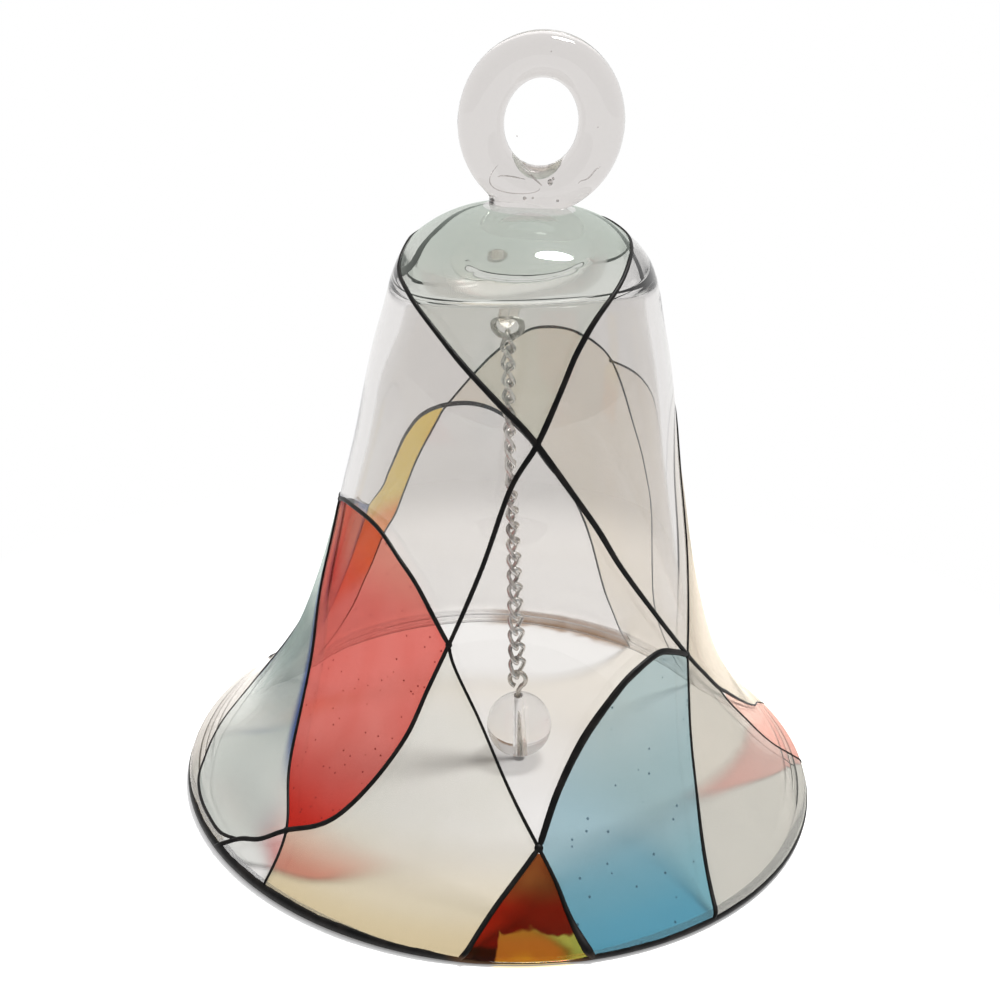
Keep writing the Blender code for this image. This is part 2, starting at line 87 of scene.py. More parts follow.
class Finish:
    # one material, or the world, and its nodes

    def __init__(self, owner):
        self.owner = bpy.data.materials.new(owner) if isinstance(owner, str) else owner
        self.owner.use_nodes = True
        self.tree = self.owner.node_tree
        self.tree.nodes.clear()

    def node(self, kind, settings=None, values=None, out=0):
        made = self.tree.nodes.new(kind)
        for key, value in (settings or {}).items():
            if key == "stops":
                self.setStops(made.color_ramp, value)
            else:
                setattr(made, key, value)
        for key, value in (values or {}).items():
            if isinstance(value, Link):
                self.tree.links.new(value.socket, made.inputs[key])
            else:
                made.inputs[key].default_value = value
        return Link(self, made.outputs[out]) if made.outputs else made

    def setStops(self, ramp, stops):
        while len(ramp.elements) < len(stops):
            ramp.elements.new(0.5)
        for element, (place, colour) in zip(ramp.elements, stops):
            element.position = place
            element.color = colour

    def place(self, axis=None):
        # Object coordinates, or one of their axes
        spot = self.node("ShaderNodeTexCoord", out="Object")
        if axis is None:
            return spot
        return self.node("ShaderNodeSeparateXYZ", None, {0: spot}, out=axis)

    def cloud(self, scale, detail=2.0, stretch=(1, 1, 1)):
        moved = self.node("ShaderNodeMapping", None, {"Vector": self.place(), "Scale": stretch})
        return self.node("ShaderNodeTexNoise", None, {"Vector": moved, "Scale": scale, "Detail": detail})

    def bump(self, height, strength, distance):
        return self.node("ShaderNodeBump", None,
                         {"Height": height, "Strength": strength, "Distance": distance})

    def blend(self, share, first, second):
        return self.node("ShaderNodeMixShader", None, {0: share, 1: first, 2: second})

    def clear(self, colour):
        # a clear film of one colour
        return self.node("ShaderNodeBsdfTransparent", None, {"Color": paint(*colour)})

    def tone(self, share, first, second):
        return self.node("ShaderNodeMix", {"data_type": "RGBA"}, {0: share, 6: first, 7: second}, out=2)

    def rays(self, *kinds):
        # 1 for the named kinds of ray
        found = [self.node("ShaderNodeLightPath", out="Is " + kind + " Ray") for kind in kinds]
        total = found[0]
        for kind in found[1:]:
            total = total.most(kind)
        return total

    def done(self, shader, output="ShaderNodeOutputMaterial"):
        self.node(output, None, {0: shader})
        return self.owner


def paint(red, green, blue):
    # a colour as seen on a screen, 0 to 255, made linear
    linear = [(c / 255 / 12.92) if c < 10.3 else ((c / 255 + 0.055) / 1.055) ** 2.4
              for c in (red, green, blue)]
    return (*linear, 1.0)


# mesh helpers

def keep(name, bm, material, body, node=None, angle=40):
    # turns a bmesh into a finished piece that rides on its body
    mesh = bpy.data.meshes.new(name)
    bm.to_mesh(mesh)
    bm.free()
    for face in mesh.polygons:
        face.use_smooth = True
    if angle:
        mesh.set_sharp_from_angle(angle=math.radians(angle))
    mesh.materials.append(material)
    piece = bpy.data.objects.new(name, mesh)
    scene.collection.objects.link(piece)
    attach(piece, body)
    if node:
        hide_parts(node)


def loft(rows, loop=False):
    # a skin drawn through rows of points: each row is extruded from the last and put in place
    bm = bmesh.new()
    verts = [bm.verts.new(point) for point in rows[0]]
    start = [bm.edges.new((verts[i - 1], verts[i])) for i in range(len(verts))]
    edges = start
    for row in rows[1:]:
        grown = bmesh.ops.extrude_edge_only(bm, edges=edges)["geom"]
        fresh = {item for item in grown if isinstance(item, bmesh.types.BMVert)}
        edges = [item for item in grown if isinstance(item, bmesh.types.BMEdge)
                 and all(vert in fresh for vert in item.verts)]
        verts = [next(edge.other_vert(vert) for edge in vert.link_edges
                      if edge.other_vert(vert) in fresh) for vert in verts]
        for vert, point in zip(verts, row):
            vert.co = point
    if loop:
        bmesh.ops.bridge_loops(bm, edges=start + edges)
    else:
        bmesh.ops.edgeloop_fill(bm, edges=start)
        bmesh.ops.edgeloop_fill(bm, edges=edges)
    bmesh.ops.recalc_face_normals(bm, faces=bm.faces)
    return bm


def addTo(bm, part):
    # joins a second bmesh to the first
    spare = bpy.data.meshes.new("spare")
    part.to_mesh(spare)
    part.free()
    bm.from_mesh(spare)
    bpy.data.meshes.remove(spare)


def wireRows(path, thickness, sides, closed, reference):
    # rings of a round wire; reference is a point that the path winds round
    rows = []
    for i, point in enumerate(path):
        ahead = path[(i + 1) % len(path)] if closed or i + 1 < len(path) else point
        behind = path[i - 1] if closed or i > 0 else point
        along = (ahead - behind).normalized()
        outward = point - reference
        outward = (outward - along * outward.dot(along)).normalized()
        across = along.cross(outward)
        size = thickness[i] if isinstance(thickness, list) else thickness
        rows.append([point + (outward * math.cos(turn) + across * math.sin(turn)) * size / 2
                     for turn in (math.tau * j / sides for j in range(sides))])
    return rows


def spun(profile, sides):
    # a closed row of (radius, height) turned once round the axis
    bm = bmesh.new()
    verts = [bm.verts.new((radius, 0, height)) for radius, height in profile]
    edges = [bm.edges.new((verts[i - 1], verts[i])) for i in range(len(verts))
             if max(verts[i - 1].co.x, verts[i].co.x) > 1e-6]
    bmesh.ops.spin(bm, geom=verts + edges, cent=(0, 0, 0), axis=(0, 0, 1),
                   angle=math.tau, steps=sides, use_merge=True)
    bmesh.ops.remove_doubles(bm, verts=bm.verts, dist=1e-6)
    bmesh.ops.recalc_face_normals(bm, faces=bm.faces)
    return bm


# camera, as the photograph was taken

view = {"distance": 195.3 * mm, "height": 124.0 * mm, "pitch": 16.5, "roll": 3.1,
        "lens": 50.76, "shiftX": -0.0214, "shiftY": -0.1461}

lens = bpy.data.cameras.new("camera")
lens.sensor_width = 36
lens.lens = view["lens"]
lens.shift_x = view["shiftX"]
lens.shift_y = view["shiftY"]
lens.clip_start = 0.01
lens.clip_end = 20
camera = bpy.data.objects.new("camera", lens)
scene.collection.objects.link(camera)
camera.matrix_world = (Matrix.Translation((0, -view["distance"], view["height"]))
                       @ Matrix.Rotation(math.radians(90 - view["pitch"]), 4, "X")
                       @ Matrix.Rotation(math.radians(view["roll"]), 4, "Z"))
scene.camera = camera
scene.view_settings.view_transform = "Standard"
scene.cycles.max_bounces = 20
scene.cycles.transmission_bounces = 20
scene.cycles.glossy_bounces = 8
scene.cycles.transparent_max_bounces = 32
scene.cycles.caustics_reflective = False
scene.cycles.caustics_refractive = False
print("camera set")


# studio

studio = {"lampTurn": (0.232, 0.062, 0.971), "lampDistance": 1.0, "lampSize": (0.17, 0.34),
          "lampPower": 14.0, "fill": 0.30, "skyDim": 0.35, "skyGain": 0.65, "skyTurn": (-0.7, 0.5),
          "tableRadius": 0.095, "tableFade": (0.9, 1.25), "tableGlow": 0.12, "floorRadius": 4.0,
          "edgeInside": (47.0 * mm, 48.0 * mm), "edgeOutside": (54.0 * mm, 49.0 * mm), "edgeGlow": 0.40}

lampLight = bpy.data.lights.new("softbox", "AREA")
lampLight.shape = "ELLIPSE"
lampLight.size = studio["lampSize"][0]
lampLight.size_y = studio["lampSize"][1]
lampLight.energy = studio["lampPower"]
lamp = bpy.data.objects.new("softbox", lampLight)
scene.collection.objects.link(lamp)
toLamp = Vector(studio["lampTurn"]).normalized()
lamp.matrix_world = (Matrix.Translation(toLamp * studio["lampDistance"])
                     @ toLamp.to_track_quat("Z", "Y").to_matrix().to_4x4())

sky = Finish(bpy.data.worlds.new("studio"))
direction = sky.node("ShaderNodeTexCoord", out="Generated")
depth = sky.node("ShaderNodeSeparateXYZ", None, {0: direction}, out="Y")
soft = studio["skyDim"] + studio["skyGain"] * depth.ramp(*studio["skyTurn"])
plain = sky.rays("Camera", "Transmission")
glossy = sky.rays("Glossy")
strength = plain.most(glossy * soft).most(studio["fill"])
backdrop = sky.node("ShaderNodeBackground", None, {"Color": (1, 1, 1, 1), "Strength": strength})
scene.world = sky.done(backdrop, "ShaderNodeOutputWorld")

ground = Finish("paleTable")
reach = ground.node("ShaderNodeVectorMath", {"operation": "LENGTH"}, {0: ground.place()}, out="Value")
far = reach.ramp(*(studio["tableRadius"] * share for share in studio["tableFade"]))
seen = ground.rays("Camera", "Glossy", "Transmission")
matt = ground.node("ShaderNodeBsdfDiffuse", None, {"Color": (0.8, 0.8, 0.8, 1)})
# a narrow glow round the lip, which lightens the contact shadow
outside = reach.ramp(*studio["edgeInside"]) * reach.ramp(*studio["edgeOutside"]) * studio["edgeGlow"]
glow = ground.node("ShaderNodeEmission", None, {"Strength": seen * (outside + studio["tableGlow"])})
table = ground.node("ShaderNodeAddShader", None, {0: matt, 1: glow})
white = ground.node("ShaderNodeEmission", None, {"Strength": 1.0})
wide = ground.blend(seen, matt, white)
ground.done(ground.blend(far, table, wide))
floorMesh = bmesh.new()
bmesh.ops.create_circle(floorMesh, cap_ends=True, segments=64, radius=studio["floorRadius"])
floorData = bpy.data.meshes.new("floor")
floorMesh.to_mesh(floorData)
floorMesh.free()
floorData.materials.append(ground.owner)
floor = bpy.data.objects.new("floor", floorData)
scene.collection.objects.link(floor)
print("studio set")


# finishes

glass = {"ior": 1.5, "waves": 90, "waveDepth": 0.4 * mm, "crown": (76 * mm, 80 * mm)}
paste = {"left": (-6 * mm, -3 * mm), "right": (11 * mm, 14 * mm), "above": (1.0 * mm, 1.7 * mm),
         "behind": (-20 * mm, 0.0), "brown": 0.8, "shine": 0.12}
paneCoat = {"stretch": 0.35, "pool": 0.25, "poolEdge": (0.3, 1.4), "wander": 420, "wanderBy": 2.4 * mm}


def glassFinish(name, tint, shade, ripple=0.03, rough=0.0, skirt=None):
    # clear glass; lamps and soft light pass it as a plain tint, so that it throws a light shadow.
    # skirt gives a greyer foot and crown: the foot's share, the heights between, the crown's share
    finish = Finish(name)
    wave = finish.cloud(glass["waves"], 2.0)
    normal = finish.bump(wave, ripple, glass["waveDepth"])
    colour = (*tint, 1)
    if skirt:
        foot, (low, high), crown = skirt
        height = finish.place("Z")
        colour = finish.tone(height.ramp(low * mm, high * mm), (*(foot * c for c in tint), 1), colour)
        colour = finish.tone(height.ramp(*glass["crown"]), colour, (*(crown * c for c in tint), 1))
    body = finish.node("ShaderNodeBsdfPrincipled", None, {
        "Base Color": colour, "Roughness": rough, "IOR": glass["ior"], "Transmission Weight": 1.0,
        "Normal": normal})
    thin = finish.node("ShaderNodeBsdfTransparent", None, {"Color": (*shade, 1)})
    return finish.done(finish.blend(finish.rays("Shadow", "Diffuse"), body, thin))


def pasteFinish():
    # cured contour paste: near black, a little gloss, fine drag marks, brown where it is thin on the lip
    finish = Finish("blackPaste")
    grain = finish.cloud(1400, 3.0)
    drag = finish.cloud(500, 2.0)
    along = finish.place("X")
    thin = along.ramp(*paste["left"]) * (1.0 - along.ramp(*paste["right"])) * (
        1.0 - finish.place("Z").ramp(*paste["above"])) * (1.0 - finish.place("Y").ramp(*paste["behind"]))
    tone = finish.tone(drag.ramp(0.35, 0.75), (0.003, 0.003, 0.003, 1), (0.012, 0.010, 0.009, 1))
    tone = finish.tone(thin * paste["brown"], tone, paint(92, 66, 44))
    shader = finish.node("ShaderNodeBsdfPrincipled", None, {
        "Base Color": tone, "Specular IOR Level": paste["shine"], "Roughness": 0.32 + 0.25 * grain,
        "Normal": finish.bump(grain, 0.35, 0.05 * mm)})
    return finish.done(shader)


def steelFinish(name, light, dark, rough):
    # drawn wire, a little dulled in patches
    finish = Finish(name)
    patch = finish.cloud(900, 3.0)
    fine = finish.cloud(6000, 2.0)
    tone = finish.tone(patch.ramp(0.40, 0.70), (*light, 1), (*dark, 1))
    shader = finish.node("ShaderNodeBsdfPrincipled", None, {
        "Base Color": tone, "Metallic": 1.0, "Roughness": rough + 0.18 * patch,
        "Normal": finish.bump(fine, 0.12, 0.01 * mm)})
    return finish.done(shader)


def paneFinish(pane):
    # a film of glass paint: two tints of one colour in soft streaks, deeper where it pooled
    # against the lines, with a trace of pigment that catches the light. A pane can also have
    # turns: axis, start and end in mm, the new colour;
    # rim: how far a colour reaches from the lines, and the heights between which it comes in;
    # corner: a colour that starts between two places across and two up, the gold field's own colour on Amber
    # and a painted glint on the back of the lip;
    # specks: their scale, size and colour;
    # shade: the colour that it throws on the table
    finish = Finish("paint" + pane["name"])
    streak = finish.cloud(pane.get("grain", 140), 3.0, (1, 1, paneCoat["stretch"]))
    share = (streak - 0.5) * pane.get("streak", 0.9) + pane.get("level", 0.35)
    edge = finish.node("ShaderNodeAttribute", {"attribute_name": "edge"}, out="Fac")
    pool = 1.0 - edge.ramp(*paneCoat["poolEdge"])
    share = (share + pool * paneCoat["pool"]).most(0.0).least(1.0)
    film = finish.blend(share, finish.clear(pane["light"]), finish.clear(pane["deep"]))
    for axis, start, end, colour in pane.get("turns", []):
        film = finish.blend(finish.place(axis).ramp(start * mm, end * mm), film, finish.clear(colour))
    if "rim" in pane:
        reach, colour, (low, high) = pane["rim"]
        share = (1.0 - edge.ramp(paneCoat["poolEdge"][0], reach)) * finish.place("Z").ramp(
            low * mm, high * mm)
        film = finish.blend(share, film, finish.clear(colour))
    if "corner" in pane:
        (acrossStart, acrossEnd), (downStart, downEnd), colour = pane["corner"]
        wander = (finish.cloud(paneCoat["wander"], 1.0) - 0.5) * paneCoat["wanderBy"]
        spot = (finish.place("X") + wander).ramp(acrossStart * mm, acrossEnd * mm) * (
            finish.place("Z") + wander).ramp(downStart * mm, downEnd * mm)
        film = finish.blend(spot, film, finish.clear(colour))
    if "specks" in pane:
        scale, size, colour = pane["specks"]
        cell = finish.node("ShaderNodeTexVoronoi", None, {"Vector": finish.place(), "Scale": scale})
        film = finish.blend(1.0 - cell.ramp(size * 0.6, size), film, finish.clear(colour))
    if "shade" in pane:
        film = finish.blend(finish.rays("Shadow"), film, finish.clear(pane["shade"]))
    fine = finish.cloud(900, 4.0)
    pigment = finish.node("ShaderNodeBsdfPrincipled", None, {
        "Base Color": paint(*pane["body"]), "Roughness": 0.3, "Normal": finish.bump(streak, 0.2, 0.05 * mm)})
    milk = pane.get("milk", 0.05) * (0.6 + 0.8 * fine)
    return finish.done(finish.blend(milk, film, pigment))


bellGlass = glassFinish("bellGlass", (0.758, 0.740, 0.726), (0.93, 0.93, 0.93), 0.03, 0.0,
                        (0.93, (26, 50), 0.91))
ringGlass = glassFinish("ringGlass", (0.695, 0.668, 0.652), (0.93, 0.93, 0.93), 0.05)
eyeGlass = glassFinish("eyeGlass", (0.90, 0.86, 0.82), (0.80, 0.78, 0.76), 0.10, 0.25)
beadGlass = glassFinish("beadGlass", (0.93, 0.92, 0.91), (0.80, 0.80, 0.80), 0.02)
blackPaste = pasteFinish()
ringSteel = steelFinish("ringSteel", (0.50, 0.49, 0.47), (0.26, 0.25, 0.23), 0.16)
chainSteel = steelFinish("chainSteel", (0.72, 0.71, 0.69), (0.30, 0.28, 0.27), 0.10)
pinSteel = steelFinish("pinSteel", (0.60, 0.57, 0.52), (0.34, 0.30, 0.25), 0.18)
print("finishes made")


# the blown bell

bell = {"rimRadius": 47.6 * mm, "height": 88.1 * mm, "wall": 2.2 * mm, "crown": 9.9 * mm,
        "lip": 1.1 * mm, "lipSlope": math.radians(35), "lipNose": math.radians(-56), "rest": 1.2 * mm,
        "hollowCorner": 2.4 * mm, "ceilingRise": 0.3 * mm, "ceilingTilt": 0.08, "ceilingSag": 0.6 * mm,
        "bossAt": (0.0, -2.0 * mm), "bossRadius": 6.8 * mm, "bossDrop": 0.60 * mm,
        "stations": [(35.9, 14.0), (30.0, 26.5), (24.4, 50.0), (20.5, 71.0), (15.3, 83.5), (0.0, 88.1)],
        "steps": (5, 3, 3, 2, 3, 5), "detail": 4, "sides": 240, "pull": 0.37, "bend": 0.6,
        "kneeGap": 0.3 * mm, "flatSteps": 24, "hand": 0.07 * mm, "handFrom": 6 * mm, "handTo": 70 * mm,
        "handEase": 8 * mm, "sagFrom": 62 * mm, "sagWidth": 12 * mm, "bossReach": 2 * mm}


def lipArc(start, end, radius, steps):
    centre = Vector((bell["rimRadius"] - bell["lip"], bell["lip"]))
    return [centre + radius * Vector((math.cos(turn), math.sin(turn)))
            for turn in (start + (end - start) * i / steps for i in range(steps + 1))]


def outerOutline(detail):
    # lip, flare, skirt, waist, shoulder, crown: one smooth line from the lip to the apex
    stations = [lipArc(0, math.pi / 2 - bell["lipSlope"], bell["lip"], 1)[-1]]
    stations += [Vector(place) * mm for place in bell["stations"]]
    slopes = [Vector((-math.cos(bell["lipSlope"]), math.sin(bell["lipSlope"])))]
    slopes += [(stations[i + 1] - stations[i - 1]).normalized() for i in range(1, len(stations) - 1)]
    slopes.append(Vector((-1, 0)))
    points = []
    for i in range(len(stations) - 1):
        pull = (stations[i + 1] - stations[i]).length * bell["pull"]
        curve = interpolate_bezier(stations[i].to_3d(), (stations[i] + slopes[i] * pull).to_3d(),
                                   (stations[i + 1] - slopes[i + 1] * pull).to_3d(),
                                   stations[i + 1].to_3d(), bell["steps"][i] * detail + 1)
        points += [point.to_2d() for point in curve[:-1]]
    return points + [stations[-1]]


def moved(points, distance):
    # the outline shifted along its outward normal
    found = []
    for i, point in enumerate(points):
        along = points[min(i + 1, len(points) - 1)] - points[max(i - 1, 0)]
        if point.x < 1e-6:
            along = Vector((-1, 0))
        found.append(point + Vector((along.y, -along.x)).normalized() * distance)
    return found


def innerOutline(detail):
    # up the inside of the wall, round a tight corner and over the almost flat ceiling
    ceiling = bell["height"] - bell["crown"]
    corner = bell["hollowCorner"]
    start = Vector((bell["rimRadius"] - bell["lip"] - bell["rest"], 0))
    wall = moved(outerOutline(detail), -bell["wall"])
    foot = ceiling - corner
    low, high = next(pair for pair in zip(wall, wall[1:]) if pair[1].y >= foot)
    top = low.lerp(high, (foot - low.y) / (high.y - low.y))
    along = (high - low).normalized()
    turn = Vector((top.x - corner, ceiling - bell["ceilingRise"]))
    bend = interpolate_bezier(top.to_3d(), (top + along * corner * bell["bend"]).to_3d(),
                              (turn + Vector((corner * bell["bend"], 0))).to_3d(), turn.to_3d(), 17)
    inside = [point for point in wall if bell["wall"] < point.y < foot - bell["kneeGap"]]
    steps = bell["flatSteps"]
    flat = [Vector((turn.x * (1 - k / steps), ceiling - bell["ceilingRise"] * (1 - k / steps) ** 2))
            for k in range(1, steps + 1)]
    return [start] + inside + [point.to_2d() for point in bend] + flat


fineLine = lipArc(bell["lipNose"], math.pi / 2 - bell["lipSlope"], bell["lip"], 40)[:-1] + outerOutline(24)


def radiusAt(height):
    # the outer radius at a height, found by halving
    low, high = 0, len(fineLine) - 1
    while high - low > 1:
        middle = (low + high) // 2
        if fineLine[middle].y <= height:
            low = middle
        else:
            high = middle
    a, b = fineLine[low], fineLine[high]
    return a.x + (b.x - a.x) * min(max((height - a.y) / max(b.y - a.y, 1e-9), 0), 1)


def onBell(turn, share, lift=0.0):
    # a place on the outside of the bell and its normal, from degrees and per cent of the height
    height = bell["height"] * share / 100
    angle = math.radians(turn)
    slope = (radiusAt(height + 0.2 * mm) - radiusAt(height - 0.2 * mm)) / (0.4 * mm)
    around = Vector((math.sin(angle), -math.cos(angle), 0))
    normal = (around - Vector((0, 0, slope))).normalized()
    return around * radiusAt(height) + Vector((0, 0, height)) + normal * lift, normal


def makeBell():
    lip = lipArc(-math.pi / 2, math.pi / 2 - bell["lipSlope"], bell["lip"], 12)[:-1]
    outer = outerOutline(bell["detail"])
    inner = innerOutline(bell["detail"])
    bm = spun(lip + outer + list(reversed(inner)), bell["sides"])
    ceiling = bell["height"] - bell["crown"]
    low, high, fade, width = bell["handFrom"], bell["handTo"], bell["handEase"], bell["sagWidth"]
    for vert in bm.verts:  # the inside of a blown wall is never quite even
        radius = vert.co.xy.length
        if not low < vert.co.z < ceiling + 0.1 * mm or radius > radiusAt(vert.co.z) - bell["wall"] * 0.6:
            continue
        if vert.co.z < high:
            swell = noise.noise(Vector((vert.co.x, vert.co.y, vert.co.z * 0.5)) * 60)
            ease = min(1, (vert.co.z - low) / fade) * min(1, (high - vert.co.z) / fade)
            vert.co += Vector((vert.co.x, vert.co.y, 0)) / radius * swell * bell["hand"] * ease
        ease = min(1, max(0, (vert.co.z - bell["sagFrom"]) / width))
        vert.co.z += ease * (bell["ceilingTilt"] * vert.co.x - bell["ceilingSag"] * (vert.co.x / width) ** 2)
        away = (vert.co.xy - Vector(bell["bossAt"])).length / bell["bossRadius"]
        if vert.co.z > ceiling - bell["bossReach"] and away < 1:  # where the staple's foot spread
            vert.co.z -= bell["bossDrop"] * math.sqrt(1 - away * away)
    keep("bellShell", bm, bellGlass, "bell", "bell_body")


makeBell()
print("bell blown")


# the hanging ring

ring = {"rod": 6.55 * mm, "width": 23.2 * mm, "height": 25.3 * mm, "sink": 1.2 * mm,
        "lean": math.radians(5), "footWidth": 10.4 * mm, "footDepth": 6.6 * mm, "footRise": 1.6 * mm,
        "footAt": -0.7 * mm, "swell": 0.05, "gap": 0.08 * mm, "voxel": 0.22 * mm, "smooth": 36,
        "steps": 128, "cutFrom": 71 * mm, "seamCore": (0, 40 * mm, 92 * mm)}

# air that was trapped where the rod's ends were folded together: width and route, in mm across,
# behind the middle and above the table
seams = [
    (0.26, [(-1.9, -2.3, 93.9), (-0.8, -2.4, 93.2), (0.2, -2.4, 92.2), (1.2, -2.3, 91.4), (1.9, -2.2, 90.8)]),
    (0.14, [(-4.2, -1.9, 94.2), (-5.2, -1.8, 93.0), (-5.7, -1.8, 91.6), (-5.0, -1.9, 90.5),
            (-3.0, -2.0, 90.0), (-0.6, -2.0, 89.9), (1.2, -2.0, 90.3), (1.4, -2.1, 91.1)]),
    (0.18, [(-4.9, -2.2, 91.8), (-4.2, -2.3, 92.3), (-3.0, -2.4, 92.2), (-1.6, -2.4, 92.0),
            (0.0, -2.4, 91.7)]),
    (0.20, [(6.2, -2.0, 91.4), (6.8, -2.1, 92.2), (7.6, -2.1, 92.4), (8.2, -2.0, 93.1), (8.8, -2.0, 94.0),
            (9.8, -1.8, 94.5)]),
]
# round bubbles: radius and place in mm
bubbles = [(0.42, (2.7, -2.2, 91.6)), (0.22, (3.1, -2.2, 92.1)), (0.26, (-0.7, -2.6, 89.4)),
           (0.20, (3.8, -2.5, 89.3)), (0.16, (0.4, -2.6, 89.5)), (0.12, (-2.2, -2.4, 97.8)),
           (0.10, (8.9, -1.0, 99.5)), (0.09, (1.8, -1.2, 109.2))]


def ringPlace():
    return (Matrix.Translation((0, 0, bell["height"])) @ Matrix.Rotation(ring["lean"], 4, "Y")
            @ Matrix.Translation((0, 0, ring["height"] / 2 - ring["sink"])))


def changed(piece, kind, **settings):
    # adds a modifier and applies it
    modifier = piece.modifiers.new(kind.lower(), kind)
    for key, value in settings.items():
        setattr(modifier, key, value)
    shaped = piece.evaluated_get(bpy.context.evaluated_depsgraph_get())
    mesh = bpy.data.meshes.new_from_object(shaped)
    piece.modifiers.clear()
    piece.data = mesh


def loose(bm):
    # an object for a shape that is still being worked on
    mesh = bpy.data.meshes.new("loose")
    bm.to_mesh(mesh)
    bm.free()
    piece = bpy.data.objects.new("loose", mesh)
    scene.collection.objects.link(piece)
    bpy.context.view_layer.update()
    return piece


def voids():
    # closed pockets of air in the glass; their faces point into the air
    bm = bmesh.new()
    for width, route in seams:
        points = [Vector(point) * mm for point in route]
        path = [points[0].lerp(points[1], 0.5)]
        for before, middle, after in zip(points, points[1:], points[2:]):
            start, end = before.lerp(middle, 0.5), middle.lerp(after, 0.5)
            path += interpolate_bezier(start, start.lerp(middle, 0.66), end.lerp(middle, 0.66), end, 7)[1:]
        count = len(path)
        size = [width * mm * (0.25 + 0.75 * math.sin(math.pi * (i + 0.5) / count) ** 0.5)
                for i in range(count)]
        addTo(bm, loft(wireRows(path, size, 10, False, Vector(ring["seamCore"]))))
    for radius, place in bubbles:
        ball = bmesh.new()
        bmesh.ops.create_uvsphere(ball, u_segments=16, v_segments=10, radius=radius * mm)
        bmesh.ops.translate(ball, verts=ball.verts, vec=Vector(place) * mm)
        addTo(bm, ball)
    bmesh.ops.reverse_faces(bm, faces=bm.faces)
    return bm


def makeRing():
    across = (ring["width"] - ring["rod"]) / 2
    upright = (ring["height"] - ring["rod"]) / 2
    path = []
    size = []
    for i in range(ring["steps"]):
        turn = math.tau * (i + 0.5) / ring["steps"]
        path.append(Vector((across * math.sin(turn), 0, upright * math.cos(turn))))
        away = abs(turn - math.pi)  # 0 at the foot, where the two ends of the rod meet
        hand = noise.noise(Vector((math.sin(turn), math.cos(turn), 2)) * 1.5)
        size.append(ring["rod"] * (1 + ring["swell"] * math.exp(-(away / 0.5) ** 2) + 0.015 * min(hand, 0)))
    bm = loft(wireRows(path, size, 40, True, Vector()), True)
    bmesh.ops.transform(bm, matrix=ringPlace(), verts=bm.verts)
    foot = []
    for share, spread in ((-0.6, 1.0), (-0.1, 1.0), (0.12, 0.98), (0.4, 0.92), (0.7, 0.86), (1.0, 0.80)):
        foot.append([Vector((ring["footAt"] + ring["footWidth"] / 2 * spread * math.cos(turn),
                             ring["footDepth"] / 2 * spread * math.sin(turn),
                             bell["height"] + ring["footRise"] * share))
                     for turn in (math.tau * j / 48 for j in range(48))])
    addTo(bm, loft(foot))
    whole = loose(bm)
    changed(whole, "REMESH", mode="VOXEL", voxel_size=ring["voxel"])
    bm = bmesh.new()
    bm.from_mesh(whole.data)
    for step in range(ring["smooth"]):
        bmesh.ops.smooth_vert(bm, verts=bm.verts, factor=0.5,
                              use_axis_x=True, use_axis_y=True, use_axis_z=True)
    bm.to_mesh(whole.data)
    bm.free()
    under = ring["cutFrom"]
    crown = [point for point in moved(outerOutline(3), ring["gap"]) if point.y > under]
    cutter = loose(spun(crown + [Vector((0, under)), Vector((crown[0].x, under))], 96))
    changed(whole, "BOOLEAN", operation="DIFFERENCE", solver="EXACT", object=cutter)
    bm = bmesh.new()
    bm.from_mesh(whole.data)
    addTo(bm, voids())
    bpy.data.objects.remove(cutter)
    bpy.data.objects.remove(whole)
    keep("ringRod", bm, ringGlass, "bell", "hanging_ring")


makeRing()
print("ring bent")


# the drawn outline

lines = {"height": 0.36 * mm, "slope": 0.5, "sunk": 0.03 * mm, "step": 0.5 * mm, "wobble": 0.12, "sides": 8}

# where strokes meet: degrees round the bell from the front and per cent of the height
fanTip = (6.8, 68.7)
leftCrossing = (-15.6, 37.9)
rightCrossing = (60.4, 30.9)
lowCrossing = (8.6, 12.1)
lowLeft = (-42.4, 7.2)
lowRight = (74.5, 21.6)
leafTip = (-80, 49.9)
backCrossing = (-148.5, 58.8)
backLeft = (-112.5, 43.0)
backRight = (136.8, 69.6)
rim = 0.7

